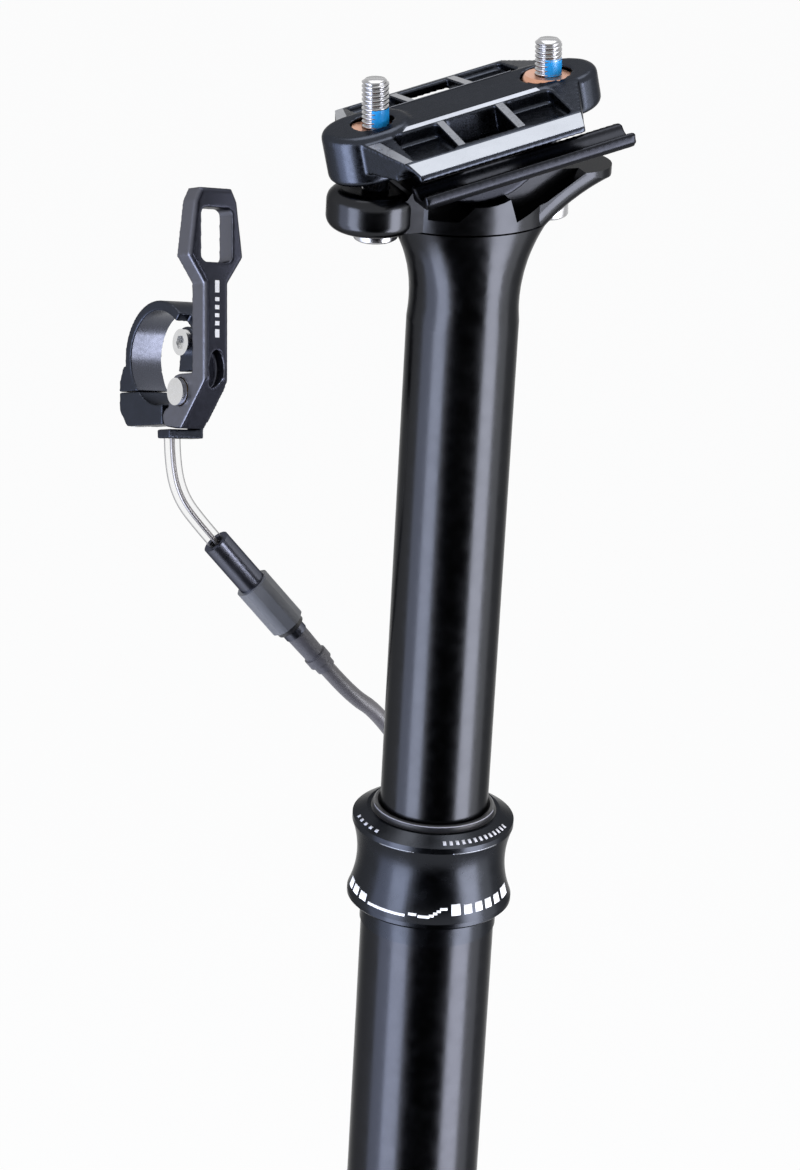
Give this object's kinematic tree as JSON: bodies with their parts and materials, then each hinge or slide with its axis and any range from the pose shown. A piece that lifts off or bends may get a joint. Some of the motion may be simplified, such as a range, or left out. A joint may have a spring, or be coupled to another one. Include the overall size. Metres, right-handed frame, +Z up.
{
  "type": "dropper seatpost",
  "caption": "Height-adjustable bicycle seatpost with a sliding stanchion, two-bolt saddle clamp, internal release and a cable-fed thumb remote.",
  "frame": {"origin": "on the post axis where the outer tube leaves the seal collar, the end of the length that goes into a frame's seat tube", "axes": "+Z up the post, +X to the rear of the bicycle, +Y to the rider's left"},
  "size_m": [0.0997, 0.1031, 0.4909],
  "materials": {
    "black_tube": "gloss black anodised",
    "black_collar": "satin black anodised",
    "black_stanchion": "polished black anodised",
    "black_clamp": "gloss black anodised",
    "black_cradle": "satin black anodised",
    "black_remote": "satin dark grey-black anodised",
    "black_lever": "satin black anodised",
    "steel": "bright zinc",
    "copper_nuts": "turned, copper tone",
    "brass_keys": "plain brass",
    "bare_aluminium": "machined",
    "bearing_plastic": "dark bearing plastic",
    "seal_rubber": "black rubber",
    "clear_liner": "clear tube",
    "joint_plastic": "black gloss plastic",
    "grey_nut": "dark grey moulded",
    "boot_rubber": "dark rubber",
    "housing_jacket": "dark grey-brown satin",
    "tie_strap": "black strap"
  },
  "bodies": {
    "outer": {"outer_tube": "black_tube", "seal_collar": "black_collar", "collar_bearing": "bearing_plastic", "collar_o_ring": "seal_rubber", "wiper_seal": "seal_rubber", "spring_rod": "steel", "spring_piston": "bare_aluminium", "piston_ring": "seal_rubber", "actuator_housing": "black_tube", "rod_nut": "steel", "rocker_pin": "steel", "lower_wire": "steel", "stop_ferrule": "bare_aluminium", "remote_bracket": "black_remote", "hinge_screw": "steel", "band_screw": "steel", "pivot_bolt": "steel", "pivot_sleeve": "brass_keys", "cable_liner": "clear_liner", "upper_wire": "steel", "joint_body": "joint_plastic", "adjuster_ring": "seal_rubber", "step_ferrule": "joint_plastic", "housing_boot": "boot_rubber", "housing_upper": "housing_jacket", "housing_coil": "housing_jacket", "housing_lower": "housing_jacket", "coil_ties": "tie_strap"},
    "stanchion": {"stanchion_and_head": "black_stanchion", "guide_keys": "brass_keys", "lower_bushing": "bearing_plastic", "cartridge_retainer": "bare_aluminium", "gas_cylinder": "bare_aluminium", "cylinder_gland": "bare_aluminium", "top_out_bumper": "seal_rubber", "clamp_bolts": "steel", "bolt_washers": "steel"},
    "saddle_clamp": {"upper_clamp": "black_clamp", "lower_cradle": "black_cradle"},
    "front_clamp_nut": {"front_nut": "copper_nuts"},
    "rear_clamp_nut": {"rear_nut": "copper_nuts"},
    "rocker": {"actuator_rocker": "steel", "wire_barrel": "brass_keys"},
    "pin": {"release_pin": "steel"},
    "lever": {"remote_lever": "black_lever", "cable_nipple": "steel"},
    "band": {"bar_band": "black_remote"},
    "adjuster": {"adjuster_nut": "grey_nut"}
  },
  "joints": [
    {"name": "post_travel", "type": "slide", "parent": "outer", "child": "stanchion", "axis": [0, 0, 1], "range_m": [-0.125, 0], "stiffness_N_per_m": 60, "springref_m": 0.2},
    {"name": "saddle_tilt", "type": "hinge", "parent": "stanchion", "child": "saddle_clamp", "pos_m": [-0.0025, 0, 0.197], "axis": [0, 1, 0], "range_deg": [0, 16]},
    {"name": "front_nut_thread", "type": "slide", "parent": "stanchion", "child": "front_clamp_nut", "axis": [-0.0523, 0, 0.9986], "range_m": [-0.0003, 0.0061]},
    {"name": "rear_nut_thread", "type": "slide", "parent": "stanchion", "child": "rear_clamp_nut", "axis": [-0.0523, 0, 0.9986], "range_m": [-0.0058, 0.0003]},
    {"name": "release_lever", "type": "hinge", "parent": "outer", "child": "lever", "pos_m": [-0.0491, 0.04637, 0.12027], "axis": [0.9524, 0.2379, -0.1906], "range_deg": [0, 22], "stiffness_Nm_per_rad": 0.15, "springref_deg": -11.46},
    {"name": "release_rocker", "type": "hinge", "parent": "outer", "child": "rocker", "pos_m": [0.0035, 0, -0.2225], "axis": [0, 1, 0], "range_deg": [0, 15.1]},
    {"name": "release_pin_lift", "type": "slide", "parent": "outer", "child": "pin", "axis": [0, 0, 1], "range_m": [0, 0.001]},
    {"name": "bar_band_hinge", "type": "hinge", "parent": "outer", "child": "band", "pos_m": [-0.04209, 0.05096, 0.13006], "axis": [0.9524, 0.2379, -0.1906], "range_deg": [0, 50]},
    {"name": "adjuster_turn", "type": "hinge", "parent": "outer", "child": "adjuster", "pos_m": [-0.0425, 0.0395, 0.0848], "axis": [0.6342, -0.1162, -0.7644], "range_deg": [-360, 360]}
  ],
  "couplings": [
    {"joint": "front_nut_thread", "follows": "saddle_tilt", "m_per_rad": 0.02124},
    {"joint": "rear_nut_thread", "follows": "saddle_tilt", "m_per_rad": -0.02024},
    {"joint": "release_rocker", "follows": "release_lever", "ratio": 0.6818},
    {"joint": "release_pin_lift", "follows": "release_lever", "m_per_rad": 0.00236}
  ]
}
